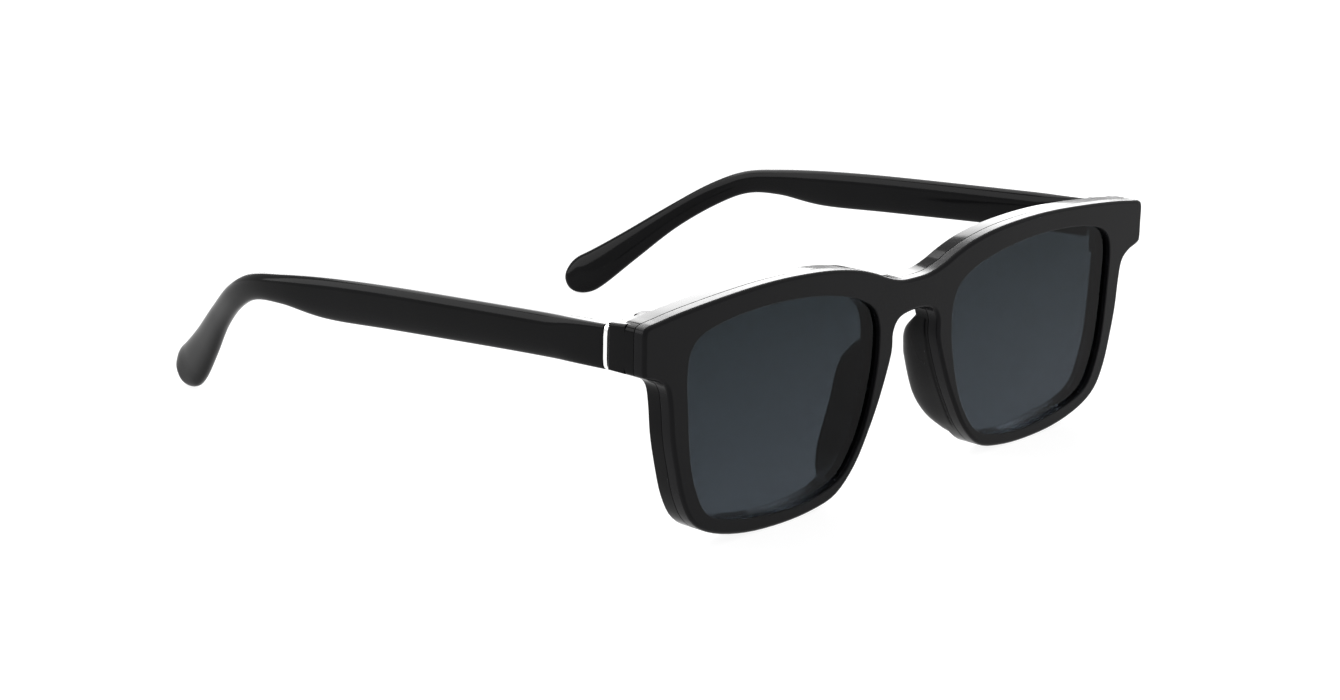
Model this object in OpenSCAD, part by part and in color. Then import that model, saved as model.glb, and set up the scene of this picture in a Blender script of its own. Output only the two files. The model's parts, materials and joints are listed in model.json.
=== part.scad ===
// Full-rim spectacles with a magnetic clip-on sun front.
// The front plane of the clip faces -Y, the temples run towards +Y and +Z is up.
// The spectacles stand open on the rim bottoms and the temple tips.

/* [Lenses] */
// Width of a lens, from its nose side to its temple side
lens_w = 52; // [46:1:58]
// Height of a lens
lens_h = 38.9; // [32:0.1:46]
// Shortest distance between the two lenses
lens_gap = 20; // [17:0.5:24]
// Depth of the groove that holds a lens edge
lens_seat = 0.65; // [0.4:0.05:1]
// Play of a lens in its groove
lens_play = 0.04; // [0:0.01:0.1]
// Thickness of a clear lens
clear_lens_t = 1.2; // [0.8:0.1:1.6]
// Radius of the curve of a clear lens
clear_lens_r = 700; // [500:50:2000]
// Thickness of a dark lens
dark_lens_t = 1; // [0.7:0.1:1.2]

/* [Rims] */
// Height of a rim above its lens opening
rim_top = 3.95; // [2.5:0.05:6]
// Height of a rim below its lens opening
rim_bottom = 2.4; // [1.8:0.1:4]
// Width of a rim on the temple side of its opening
rim_temple = 3.95; // [2.5:0.05:6]
// Width of a rim on the nose side of its opening
rim_nose = 4.2; // [3:0.1:6]
// Drop of the bridge's upper edge below the top of the rims
bridge_drop = 5.95; // [3:0.05:9]
// Height of the bridge at its middle
bridge_h = 6; // [4:0.5:8]
// Depth of the spectacle front behind the clip
front_t = 3; // [2.8:0.1:4]

/* [Endpieces] */
// Reach of an endpiece past its rim
endpiece_w = 6.7; // [6:0.1:9]
// Drop of an endpiece's upper corner below the top of the rims
endpiece_drop = 2.6; // [1:0.1:6]
// Height of an endpiece
endpiece_h = 8.4; // [7.8:0.1:11]
// Depth of the endpiece block behind the spectacle front
block_t = 3; // [2:0.1:5]
// Step from the clip's upper edge down to the endpiece block
block_step = 0.7; // [0:0.1:1.5]
// Reach of the block below the endpiece's lower corner
block_low = 0.3; // [0:0.1:1]
// Step from the end of the front in to the block's outer face
block_inset = 0.3; // [0.1:0.1:0.6]
// Width of the block at its rear face
block_w = 6.9; // [6.5:0.1:8]
// Extra width of the block where it grows out of the front
block_flare = 1.8; // [0.5:0.1:3]
// Rounding of the block's rear outer corner
block_round = 1; // [0.4:0.1:1.5]

/* [Nose pads] */
// Reach of the nose pads behind the spectacle front
pad_reach = 5; // [2:0.1:8]
// Thickness of a nose pad at its rear edge
pad_edge = 1.8; // [1.2:0.1:2.4]
// Outward lean of a nose pad over its reach
pad_lean = 1; // [0:0.1:3]
// Distance of a pad's foot from the edges of its rim
pad_inset = 0.15; // [0.1:0.05:0.4]

/* [Clip] */
// Depth of the clip-on front
clip_t = 2.4; // [2:0.1:3]
// Gap between the clip and the spectacle front
clip_gap = 0.1; // [0.05:0.05:0.4]
// Depth of the dark lenses behind the clip's front plane
clip_recess = 0.9; // [0.5:0.1:1]

/* [Magnets] */
// Diameter of the magnets in the endpieces
corner_magnet_d = 3; // [2:0.1:3.4]
// Diameter of the magnets beside the bridge
bridge_magnet_d = 2.5; // [2:0.1:3]
// Thickness of a magnet
magnet_t = 1; // [0.6:0.1:1.2]
// Distance of the endpiece magnets inward from the ends of the front
corner_magnet_in = 4.4; // [3:0.1:5]
// Distance of the bridge magnets from the middle of the front
bridge_magnet_out = 7.6; // [5:0.1:8]
// Height of the bridge magnets above the middle of the bridge
bridge_magnet_up = 0.4; // [-0.5:0.1:0.8]

/* [Temples] */
// Length of a temple from its hinge to the start of its bend
temple_straight = 83; // [70:1:100]
// Distance behind the hinge of the rear end of the tip
temple_reach = 133.8; // [125:0.1:150]
// Height of a temple at its hinge end
temple_h = 7.7; // [5:0.1:8]
// Height of a temple at its bend
neck_h = 5; // [3.5:0.1:7]
// Height of a temple tip
tip_h = 7.7; // [5:0.1:10]
// Thickness of a temple
temple_t = 3; // [2.6:0.1:4]
// Thickness of a temple tip
tip_t = 3.6; // [3:0.1:5]
// Drop of the straight part towards the bend
temple_drop = 5.6; // [2:0.1:9]
// How far the tips lean in towards each other
tip_in = 15; // [4:0.5:16]
// Height of a tip's rear end, as a share of the tip's height
tip_rise = 0.272; // [0.25:0.001:0.4]
// Step from the endpiece's outer face in to the temple's outer face
temple_step = 0.2; // [0:0.1:1]
// Thickness of the bright plate on the end of a temple
end_plate_t = 0.85; // [0.4:0.05:1.2]
// Height of the wire inside a temple
core_h = 2; // [1.2:0.1:3]
// Thickness of the wire inside a temple
core_t = 0.8; // [0.6:0.1:1]

/* [Hinges] */
// Radius of a hinge barrel
barrel_r = 1.3; // [1.1:0.05:1.6]
// Height of a hinge barrel over all its knuckles
barrel_h = 6; // [5:0.1:6.6]
// Height of the temple's knuckle in the middle of the barrel
knuckle_h = 2.2; // [1.6:0.1:3]
// Gap between neighbouring knuckles
knuckle_gap = 0.06; // [0.03:0.01:0.15]
// Radius of a hinge screw
screw_r = 0.65; // [0.5:0.05:0.8]
// Running gap between the screw and the temple's knuckle
screw_play = 0.05; // [0.02:0.01:0.1]
// Radius of a hinge screw's head
screw_head_r = 1.1; // [0.9:0.05:1.2]
// Height of a hinge screw's head
screw_head_h = 0.55; // [0.4:0.05:0.8]
// Thickness of a hinge leaf
leaf_t = 0.9; // [0.6:0.1:1.2]
// Gap round a hinge barrel
barrel_gap = 0.25; // [0.15:0.05:0.4]
// Gap between an endpiece and the plate on the temple's end
joint_gap = 0.1; // [0.05:0.05:0.3]
// Distance of the hinge axis behind the front face of the plate
hinge_back = 0.34; // [0.2:0.02:0.6]
// Length of the leaf that is let into a temple
temple_leaf_l = 7; // [5:0.5:10]
// Gap between a temple's end and the leaf that is let into it
leaf_gap = 0.05; // [0.02:0.01:0.2]
// Plastic left between a magnet and the hinge leaf behind it
leaf_wall = 0.6; // [0.4:0.1:1]
// Width of the slot in a screw's head
slot_w = 0.3; // [0.2:0.05:0.5]
// Depth of the slot in a screw's head
slot_depth = 0.28; // [0.15:0.01:0.35]

/* [Hidden] */

// Points drawn between two neighbouring points of an outline or a path
outline_steps = 4;
path_steps = 4;
// How far a cut runs past a face, and one shape into the shape that it joins
overlap = 1;
$fn = 48;

// Colours
frame_black = [0.05, 0.05, 0.06];
clip_black = [0.09, 0.09, 0.1];
lens_clear = [0.85, 0.9, 0.92, 0.4];
lens_dark = [0.12, 0.15, 0.2, 0.85];
steel = [0.78, 0.78, 0.8];
magnet_grey = [0.55, 0.55, 0.58];

// The lens opening and the rim, as a box each: low x, low z, width, height
opening_box = [
    lens_gap/2 + lens_seat, rim_bottom,
    lens_w - 2*lens_seat, lens_h - 2*lens_seat
];
rim_box = [
    opening_box[0] - rim_nose, 0,
    opening_box[2] + rim_nose + rim_temple, opening_box[3] + rim_bottom + rim_top
];
lens_middle = [opening_box[0] + opening_box[2]/2, opening_box[1] + opening_box[3]/2];

// Heights and widths of the front
front_top = rim_box[3];
half_w = rim_box[0] + rim_box[2] + endpiece_w;
bridge_top = front_top - bridge_drop;
arch_top = bridge_top - bridge_h;
corner_top = front_top - endpiece_drop;
corner_bottom = corner_top - endpiece_h;

// Depths, counted from the clip's front plane
base_y = clip_t + clip_gap;
base_back = base_y + front_t;
block_back = base_back + block_t;
plate_y = block_back + joint_gap;
temple_y = plate_y + end_plate_t;
leaf_front = base_y + magnet_t + leaf_wall;

// The hinge axis
hinge_x = half_w - temple_step - temple_t - barrel_gap - barrel_r;
hinge_y = plate_y + hinge_back;
block_top = corner_top - block_step;
block_bottom = corner_bottom - block_low;
hinge_z = (block_top + block_bottom)/2;
leaf_low = hinge_z - barrel_h/2;

// Shape of a lens opening, as shares of its box, from the nose side round by the top
opening_shape = [
    [0, 0.68], [0.006, 0.77], [0.034, 0.845], [0.092, 0.897], [0.184, 0.94],
    [0.342, 0.98], [0.53, 1], [0.717, 0.995], [0.855, 0.972], [0.938, 0.941],
    [0.984, 0.886], [1, 0.8], [0.997, 0.66], [0.978, 0.382], [0.94, 0.213],
    [0.889, 0.11], [0.801, 0.056], [0.66, 0.02], [0.47, 0], [0.3, 0.019],
    [0.184, 0.07], [0.109, 0.179], [0.053, 0.322], [0.01, 0.53]
];
// Shape of the lower rim, as shares of its box, from the endpiece round to the nose
lower_rim_shape = [
    [1, 0.6], [0.991, 0.486], [0.972, 0.367], [0.941, 0.226], [0.891, 0.12],
    [0.801, 0.055], [0.66, 0.013], [0.5, 0], [0.36, 0.01], [0.252, 0.044],
    [0.165, 0.142], [0.1, 0.277], [0.05, 0.41], [0.005, 0.57], [0, 0.66]
];
// Shape of the upper rim, as shares of its box, from the bridge to the endpiece
upper_rim_shape = [[0.18, 0.958], [0.3, 0.984], [0.45, 0.998], [0.6, 1], [0.775, 0.989]];
// Shape of the bridge's upper and lower edge, as shares of a box on each, from the middle
bridge_shape = [[0, 0], [0.65, 0.034], [1.25, 0.2], [1.87, 0.45]];
arch_shape = [[0.71, -0.117], [0, 0]];
// Shape of the endpiece, as shares of its box, from the upper rim round to the lower rim
endpiece_shape = [
    [-0.418, 1.155], [0.403, 1.077], [0.851, 1.024], [0.993, 0.893], [1, 0.5],
    [0.993, 0.107], [0.866, -0.012], [0.433, -0.131], [0.119, -0.345]
];
// Shape of the endpiece block seen from the front, as shares of its box
block_shape = [
    [-0.26, -0.2], [0.39, 0.025], [0.9, 0.025], [1, 0.1], [1, 0.9], [0.9, 1], [-0.26, 1.09]
];

// A point between p1 and p2 on a smooth curve through the four points
function smooth_point(p0, p1, p2, p3, t) =
    (2*p1 + (p2 - p0)*t + (2*p0 - 5*p1 + 4*p2 - p3)*t*t + (3*p1 - p0 - 3*p2 + p3)*t*t*t)/2;

// A closed smooth curve through the points
function smooth_loop(points, steps) =
    let (n = len(points))
    [for (i = [0:n - 1]) for (k = [0:steps - 1])
        smooth_point(
            points[(i + n - 1)%n], points[i], points[(i + 1)%n], points[(i + 2)%n], k/steps
        )];

// An open smooth curve through the points, both ends included
function smooth_path(points, steps) =
    let (n = len(points))
    concat(
        [for (i = [0:n - 2]) for (k = [0:steps - 1])
            smooth_point(
                points[max(i - 1, 0)], points[i], points[i + 1], points[min(i + 2, n - 1)], k/steps
            )],
        [points[n - 1]]
    );

function in_box(box, shape) = [for (p = shape) [box[0] + p[0]*box[2], box[1] + p[1]*box[3]]];
function mirrored(points) = [for (i = [len(points) - 1:-1:0]) [-points[i][0], points[i][1]]];

// The half outline of the front, from the middle of the bridge over the rim to the arch
half_outline = concat(
    in_box([0, bridge_top, rim_box[0], bridge_drop], bridge_shape),
    in_box(rim_box, upper_rim_shape),
    in_box([half_w - endpiece_w, corner_bottom, endpiece_w, endpiece_h], endpiece_shape),
    in_box(rim_box, lower_rim_shape),
    in_box([0, arch_top, rim_box[0], bridge_h], arch_shape)
);
inner_half = [for (i = [1:len(half_outline) - 2]) half_outline[i]];
front_outline = smooth_loop(
    concat([half_outline[0]], inner_half, [half_outline[len(half_outline) - 1]], mirrored(inner_half)),
    outline_steps
);

// The outline of a lens opening grown by the given amount all round
function opening_outline(grow) =
    smooth_loop(
        in_box(
            [
                opening_box[0] - grow, opening_box[1] - grow,
                opening_box[2] + 2*grow, opening_box[3] + 2*grow
            ],
            opening_shape
        ),
        outline_steps
    );

// Shape of a temple's middle line to its bend, as shares of its length and its drop
straight_shape = [[0, 0], [0.27, 0.25], [0.63, 0.63], [0.85, 0.9], [1, 1]];
// Shape of the middle line behind the bend, as shares of its run back, down and inward
bent_shape = [
    [0.18, 0.045, 0.05], [0.34, 0.17, 0.18], [0.52, 0.38, 0.42], [0.7, 0.63, 0.68],
    [0.84, 0.82, 0.86], [0.939, 0.955, 0.96], [0.988, 0.984, 1]
];
// The middle line: distance behind the clip's front plane, height, lean inward
bend_y = hinge_y + temple_straight;
bend_z = hinge_z - temple_drop;
bent_run = [temple_reach - temple_straight, tip_h*tip_rise - bend_z, tip_in];
temple_path = smooth_path(concat(
    [for (s = straight_shape) [temple_y + s[0]*(bend_y - temple_y), hinge_z - s[1]*temple_drop, 0]],
    [for (s = bent_shape) [bend_y + s[0]*bent_run[0], bend_z + s[1]*bent_run[1], s[2]*bent_run[2]]]
), path_steps);
// Height and thickness of the temple at the same places: to the bend, the neck and the tip
temple_sizes = smooth_path(concat(
    [for (swell = [0, 0, 0.03, 0]) [temple_h*(1 + swell), temple_t]],
    [for (s = [0.26, 0, 0, 0.11]) [neck_h + (temple_h - neck_h)*s, temple_t]],
    [for (s = [[0.45, 0.6], [0.85, 1]])
        [neck_h + (tip_h - neck_h)*s[0], temple_t + (tip_t - temple_t)*s[1]]],
    [[tip_h*0.93, tip_t], [tip_h*0.45, tip_t*0.6]]
), path_steps);
path_n = len(temple_path);
temple_outer_x = half_w - temple_step;

// Direction of the path in the side view at one of its points
function path_direction(i) =
    i == 0 ? [1, 0]
    : let (
        a = temple_path[i - 1],
        b = temple_path[min(i + 1, path_n - 1)],
        d = [b[0] - a[0], b[1] - a[1]]
    )
        d/norm(d);

// Points round a temple section: width across, height, both as shares from -1 to 1.
// A roundness of 1 gives an ellipse, and 0 a square.
section_n = 16;
section_round = 0.45;
section = [for (k = [0:section_n - 1])
    let (a = 360*(k + 0.5)/section_n, c = cos(a), s = sin(a))
        [sign(c)*pow(abs(c), section_round), sign(s)*pow(abs(s), section_round)]];

// One ring of points of a solid that follows the temple's path
function path_ring(i, height, thickness) =
    let (p = temple_path[i], d = path_direction(i))
    [for (q = section)
        [
            temple_outer_x - temple_t/2 - p[2] + q[0]*thickness/2,
            p[0] - d[1]*q[1]*height/2,
            p[1] + d[0]*q[1]*height/2
        ]];

function ring_solid_points(rings) = [for (r = rings) for (p = r) p];
function ring_solid_faces(count) =
    concat(
        [[for (k = [section_n - 1:-1:0]) k]],
        [for (i = [0:count - 2]) for (k = [0:section_n - 1])
            let (a = i*section_n + k, b = i*section_n + (k + 1)%section_n)
                [a, b + section_n, a + section_n]],
        [for (i = [0:count - 2]) for (k = [0:section_n - 1])
            let (a = i*section_n + k, b = i*section_n + (k + 1)%section_n)
                [a, b, b + section_n]],
        [[for (k = [0:section_n - 1]) (count - 1)*section_n + k]]
    );

temple_rings = [for (i = [0:path_n - 1]) path_ring(i, temple_sizes[i][0], temple_sizes[i][1])];
overall_y = max([for (p = ring_solid_points(temple_rings)) p[1]]);
front_y = -overall_y/2;

// Moves a piece so that the middle of the footprint is the origin
module placed() {
    translate([0, front_y, 0]) children();
}

// Draws a right-hand piece, or its mirror image for the left side.
// The wearer's right is -X.
module on_side(side) {
    if (side == "right") mirror([1, 0, 0]) children();
    else children();
}

// A flat outline in the front plane, given depth towards +Y from y
module slab(points, y, depth) {
    translate([0, y + depth, 0]) rotate([90, 0, 0]) linear_extrude(depth) polygon(points);
}

// A clear lens, or its groove when grown by some play
module clear_lens_shape(grow, play) {
    sag = pow(lens_w/2, 2)/(2*clear_lens_r);
    crown_y = base_y + (front_t - clear_lens_t - sag)/2;
    reach = norm([lens_w, lens_h])/2 + overlap;
    rings = 6;
    radii = [for (i = [0:rings]) reach*i/rings];
    intersection() {
        slab(opening_outline(grow), base_y - overlap, front_t + 2*overlap);
        translate([lens_middle[0], crown_y, lens_middle[1]]) rotate([-90, 0, 0])
            rotate_extrude($fn = 96) polygon(concat(
                [for (r = radii) [r, r*r/(2*clear_lens_r) - play]],
                [for (i = [rings:-1:0])
                    [radii[i], radii[i]*radii[i]/(2*clear_lens_r) + clear_lens_t + play]]
            ));
    }
}

// A magnet or its pocket
module disc(x, z, d, y, t) {
    translate([x, y, z]) rotate([-90, 0, 0]) cylinder(d = d, h = t);
}
corner_magnet_x = half_w - corner_magnet_in;
corner_magnet_z = (corner_top + corner_bottom)/2;
bridge_magnet_z = (bridge_top + arch_top)/2 + bridge_magnet_up;

module corner_discs(y, t) {
    for (s = [-1, 1]) disc(s*corner_magnet_x, corner_magnet_z, corner_magnet_d, y, t);
}
module bridge_discs(y, t) {
    for (s = [-1, 1]) disc(s*bridge_magnet_out, bridge_magnet_z, bridge_magnet_d, y, t);
}

// The endpiece block that carries the hinge, on the left side
module endpiece_block() {
    block_x = half_w - block_inset;
    box = [block_x - block_w, block_bottom, block_w, block_top - block_bottom];
    corner = [block_x - block_round, block_back - block_round];
    intersection() {
        slab(in_box(box, block_shape), base_back - overlap, block_t + overlap);
        linear_extrude(front_top) polygon(concat(
            [[box[0] - block_flare, base_back - overlap], [block_x, base_back - overlap]],
            [for (a = [0:15:90]) corner + block_round*[cos(a), sin(a)]],
            [[box[0], block_back], [box[0] - block_flare, base_back]]
        ));
    }
}

// Height and reach of a nose pad: shares of the rim's height, and of the pad's reach
pad_profile = [
    [0.66, 0.02], [0.63, 0.28], [0.585, 0.64], [0.53, 0.88], [0.46, 1], [0.37, 1.02],
    [0.28, 1], [0.21, 0.93], [0.155, 0.76], [0.11, 0.45], [0.08, 0.02]
];
rim_nose_edge = [for (i = [len(lower_rim_shape) - 1:-1:len(lower_rim_shape) - 6])
    let (p = in_box(rim_box, [lower_rim_shape[i]])[0]) [p[1], p[0]]];
opening_nose_edge = [for (i = [0, 23, 22, 21, 20, 19])
    let (p = in_box(opening_box, [opening_shape[i]])[0]) [p[1], p[0]]];

// Depth to which a pad's foot runs into the front
pad_root = 0.3;

// One level outline of a nose pad, from its foot on the nose side round its rear edge
function pad_ring(height_share, reach_share) =
    let (
        z = rim_box[3]*height_share,
        inner = lookup(z, rim_nose_edge) + pad_inset,
        outer = lookup(z, opening_nose_edge) - 2*pad_inset,
        root = base_back - pad_root,
        depth = (pad_reach + pad_root)*reach_share,
        shoulder = max(depth - 0.35*pad_edge, depth*0.6),
        r = min(pad_edge, outer - inner)/2,
        edge = min(inner + r + 2*pad_inset + pad_lean*reach_share, outer - r)
    )
    [
        [inner, root, z],
        [inner, root + depth*0.3, z],
        [(inner + edge - r)/2, root + depth*0.58, z],
        [edge - r, root + shoulder, z],
        [edge - r*0.5, root + depth, z],
        [edge + r*0.5, root + depth, z],
        [edge + r, root + shoulder, z],
        [(outer + edge + r)/2, root + depth*0.5, z],
        [outer, root + depth*0.12, z],
        [outer, root, z]
    ];

module nose_pad() {
    rings = [for (i = [0:len(pad_profile) - 1]) pad_ring(pad_profile[i][0], pad_profile[i][1])];
    n = len(rings[0]);
    count = len(rings);
    polyhedron(
        points = [for (r = rings) for (p = r) p],
        faces = concat(
            [[for (k = [0:n - 1]) k]],
            [for (i = [0:count - 2]) for (k = [0:n - 1])
                let (a = i*n + k, b = i*n + (k + 1)%n) [a, b + n, b]],
            [for (i = [0:count - 2]) for (k = [0:n - 1])
                let (a = i*n + k, b = i*n + (k + 1)%n) [a, a + n, b + n]],
            [[for (k = [n - 1:-1:0]) (count - 1)*n + k]]
        )
    );
}

// The leaf set into an endpiece: a plate with the upper and lower knuckles
module front_leaf() {
    outer_knuckle_h = (barrel_h - knuckle_h)/2 - knuckle_gap;
    difference() {
        union() {
            translate([hinge_x - leaf_t/2, leaf_front, leaf_low])
                cube([leaf_t, hinge_y - barrel_r - joint_gap - leaf_front, barrel_h]);
            for (z = [leaf_low, hinge_z + knuckle_h/2 + knuckle_gap]) {
                translate([hinge_x - leaf_t/2, leaf_front, z])
                    cube([leaf_t, hinge_y - leaf_front, outer_knuckle_h]);
                translate([hinge_x, hinge_y, z]) cylinder(r = barrel_r, h = outer_knuckle_h);
            }
        }
        translate([hinge_x, hinge_y, leaf_low - overlap])
            cylinder(r = screw_r, h = barrel_h + 2*overlap);
    }
}

// Space for the front leaf, and a square notch for the barrel, in an endpiece
module front_leaf_pocket() {
    reach = barrel_r + barrel_gap;
    translate([hinge_x - leaf_t/2, leaf_front, leaf_low])
        cube([leaf_t, hinge_y - leaf_front, barrel_h]);
    translate([hinge_x - reach, hinge_y - reach, 0]) cube([2*reach, 2*reach, front_top]);
}

// The knuckle on a temple with its leaf let into the temple's inner face
module temple_leaf() {
    leaf_x = temple_outer_x - temple_t;
    difference() {
        union() {
            translate([hinge_x, hinge_y, hinge_z - knuckle_h/2])
                cylinder(r = barrel_r, h = knuckle_h);
            translate([hinge_x, temple_y + leaf_gap, hinge_z - knuckle_h/2])
                cube([leaf_x + leaf_t - hinge_x, leaf_t, knuckle_h]);
            temple_leaf_plate();
        }
        translate([hinge_x, hinge_y, hinge_z - knuckle_h])
            cylinder(r = screw_r + screw_play, h = 2*knuckle_h);
    }
}
module temple_leaf_plate() {
    translate([temple_outer_x - temple_t, temple_y + leaf_gap, hinge_z - knuckle_h/2])
        cube([leaf_t, temple_leaf_l, knuckle_h]);
}

// The screw that is the hinge's pin, with a slotted head on top
module hinge_screw() {
    head_z = leaf_low + barrel_h;
    translate([hinge_x, hinge_y, 0]) difference() {
        union() {
            translate([0, 0, leaf_low]) cylinder(r = screw_r, h = barrel_h);
            translate([0, 0, head_z]) cylinder(r = screw_head_r, h = screw_head_h);
        }
        translate([-screw_head_r - overlap, -slot_w/2, head_z + screw_head_h - slot_depth])
            cube([2*(screw_head_r + overlap), slot_w, screw_head_h]);
    }
}

// The wire inside a temple, from the hinge end to short of the tip
core_last = path_n - 1 - 2*path_steps;
module core_wire_shape() {
    rings = [for (i = [0:2:core_last]) path_ring(i, core_h, core_t)];
    polyhedron(points = ring_solid_points(rings), faces = ring_solid_faces(len(rings)));
}

module base_front() {
    color(frame_black) placed() difference() {
        union() {
            slab(front_outline, base_y, front_t);
            for (side = ["right", "left"]) on_side(side) {
                endpiece_block();
                nose_pad();
            }
        }
        for (side = ["right", "left"]) on_side(side) {
            slab(opening_outline(0), base_y - overlap, front_t + 2*overlap);
            clear_lens_shape(lens_seat, lens_play);
            front_leaf_pocket();
        }
        corner_discs(base_y - overlap, magnet_t + overlap);
        bridge_discs(base_y - overlap, magnet_t + overlap);
    }
}

module base_lens(side) {
    color(lens_clear) placed() on_side(side) clear_lens_shape(lens_seat - lens_play, 0);
}

module clip_front() {
    color(clip_black) placed() difference() {
        slab(front_outline, 0, clip_t);
        for (side = ["right", "left"]) on_side(side) {
            slab(opening_outline(0), -overlap, clip_t + 2*overlap);
            slab(opening_outline(lens_seat), clip_recess - lens_play, dark_lens_t + 2*lens_play);
        }
        corner_discs(clip_t - magnet_t, magnet_t + overlap);
        bridge_discs(clip_t - magnet_t, magnet_t + overlap);
    }
}

module base_corner_magnets() {
    color(magnet_grey) placed() corner_discs(base_y, magnet_t);
}

module base_bridge_magnets() {
    color(magnet_grey) placed() bridge_discs(base_y, magnet_t);
}

module clip_corner_magnets() {
    color(magnet_grey) placed() corner_discs(clip_t - magnet_t, magnet_t);
}

module clip_bridge_magnets() {
    color(magnet_grey) placed() bridge_discs(clip_t - magnet_t, magnet_t);
}

module clip_lens(side) {
    color(lens_dark) placed() on_side(side)
        slab(opening_outline(lens_seat - lens_play), clip_recess, dark_lens_t);
}

module temple(side) {
    color(frame_black) placed() on_side(side) difference() {
        polyhedron(points = ring_solid_points(temple_rings), faces = ring_solid_faces(path_n));
        temple_leaf_plate();
        core_wire_shape();
    }
}

module end_plate(side) {
    color(steel) placed() on_side(side)
        slab([for (q = section)
            [temple_outer_x - temple_t/2 + q[0]*temple_t/2, hinge_z + q[1]*temple_h/2]
        ], plate_y, end_plate_t);
}

module front_hinge(side) {
    color(steel) placed() on_side(side) front_leaf();
}

module temple_hinge(side) {
    color(steel) placed() on_side(side) temple_leaf();
}

module screw(side) {
    color(steel) placed() on_side(side) hinge_screw();
}

module core_wire(side) {
    color(steel) placed() on_side(side) core_wire_shape();
}

base_front();
base_lens("right");  // base_lens_right
base_lens("left");  // base_lens_left
base_corner_magnets();
base_bridge_magnets();
front_hinge("right");  // front_hinge_right
front_hinge("left");  // front_hinge_left
screw("right");  // hinge_screw_right
screw("left");  // hinge_screw_left
clip_front();
clip_lens("right");  // clip_lens_right
clip_lens("left");  // clip_lens_left
clip_corner_magnets();
clip_bridge_magnets();
temple("right");  // temple_right
end_plate("right");  // end_plate_right
temple_hinge("right");  // temple_hinge_right
core_wire("right");  // core_wire_right
temple("left");  // temple_left
end_plate("left");  // end_plate_left
temple_hinge("left");  // temple_hinge_left
core_wire("left");  // core_wire_left
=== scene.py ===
# %% [markdown]
# # Clip-on eyeglasses in black plastic
# A pair of full-rim spectacles, with a tinted sun front that is held on by small magnets. The sizes
# come from a measured CAD model, which is loaded first and is never moved. Blender adds what makes
# the pair look real: rounded edges, a polished frame, a satin clip, tinted lenses and studio light.

# %% Load the measured model
import json
import math

import bmesh
import bpy
from mathutils import Matrix, Vector


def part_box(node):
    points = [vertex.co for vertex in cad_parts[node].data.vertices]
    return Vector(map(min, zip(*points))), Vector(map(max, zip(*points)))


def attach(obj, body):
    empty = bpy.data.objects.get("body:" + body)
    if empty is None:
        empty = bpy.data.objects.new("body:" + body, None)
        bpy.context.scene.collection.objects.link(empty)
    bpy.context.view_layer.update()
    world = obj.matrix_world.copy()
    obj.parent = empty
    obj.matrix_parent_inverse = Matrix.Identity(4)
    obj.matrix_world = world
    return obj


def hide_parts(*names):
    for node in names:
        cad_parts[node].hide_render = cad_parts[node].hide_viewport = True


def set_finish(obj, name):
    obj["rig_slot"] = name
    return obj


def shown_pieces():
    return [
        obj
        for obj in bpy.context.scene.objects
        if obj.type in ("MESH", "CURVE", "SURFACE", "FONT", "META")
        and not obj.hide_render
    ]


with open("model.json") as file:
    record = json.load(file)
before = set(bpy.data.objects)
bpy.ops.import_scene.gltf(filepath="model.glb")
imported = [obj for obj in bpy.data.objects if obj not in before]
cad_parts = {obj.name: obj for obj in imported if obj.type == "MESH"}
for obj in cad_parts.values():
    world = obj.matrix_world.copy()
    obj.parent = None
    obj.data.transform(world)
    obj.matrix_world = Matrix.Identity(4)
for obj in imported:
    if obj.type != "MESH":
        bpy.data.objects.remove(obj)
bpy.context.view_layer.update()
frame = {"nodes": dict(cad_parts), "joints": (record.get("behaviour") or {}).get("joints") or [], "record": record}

mm = 0.001

# %% [markdown]
# ## Sizes
# Every length is in metres, as in the model. Most places are read from the boxes of the CAD pieces,
# so that a new part lands where the measured one is. The front faces -Y, the temples run towards +Y,
# and the wearer's left is +X. Each right-hand piece is the mirror image of the left-hand one.

# %% Sizes from the model
clip_low, clip_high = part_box("clip_front")
plate_low, plate_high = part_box("end_plate_left")
lens_low, lens_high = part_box("clip_lens_left")
hinge = Vector(next(j["pos_m"] for j in frame["joints"] if j["name"] == "left_hinge"))
half_width = clip_high.x
base_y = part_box("base_corner_magnets")[0].y
front_depth = 3 * mm
base_back = base_y + front_depth
# How far a dark lens reaches into the groove of its rim
lens_seat = 0.61 * mm
opening_low = Vector((lens_low.x + lens_seat, 0, lens_low.z + lens_seat))
opening_high = Vector((lens_high.x - lens_seat, 0, lens_high.z - lens_seat))
opening_size = opening_high - opening_low
opening_middle = (opening_low + opening_high) / 2
# Points closer than this are at one place, and faces that meet at less than this are one flat face
near, flat_angle = 0.01 * mm, math.radians(0.2)
print("clip depth", round((clip_high.y - clip_low.y) / mm, 2), "mm")
print("left hinge at", [round(c / mm, 2) for c in hinge], "mm")
print("lens opening", round(opening_size.x / mm, 1), "by", round(opening_size.z / mm, 1), "mm")

# %% [markdown]
# ## The camera
# A product camera stands a little above the wearer's right, at about half a metre, with a long lens.
# Its place and turn are set with three angles, which is easier to read than a rotation matrix.

# %% Camera
camera_place = Vector((-385.2, -360.8, 155.2)) * mm
camera_azimuth, camera_elevation, camera_roll = 47.79, 15.34, 1.13
camera_data = bpy.data.cameras.new("camera")
camera_data.sensor_width = 36
camera_data.lens = 74.15
camera = bpy.data.objects.new("camera", camera_data)
bpy.context.scene.collection.objects.link(camera)
camera.matrix_world = (
    Matrix.Translation(camera_place)
    @ Matrix.Rotation(math.radians(-camera_azimuth), 4, "Z")
    @ Matrix.Rotation(math.radians(90 - camera_elevation), 4, "X")
    @ Matrix.Rotation(math.radians(camera_roll), 4, "Z")
)
bpy.context.scene.camera = camera
print("camera lens", camera_data.lens, "mm")

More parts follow.
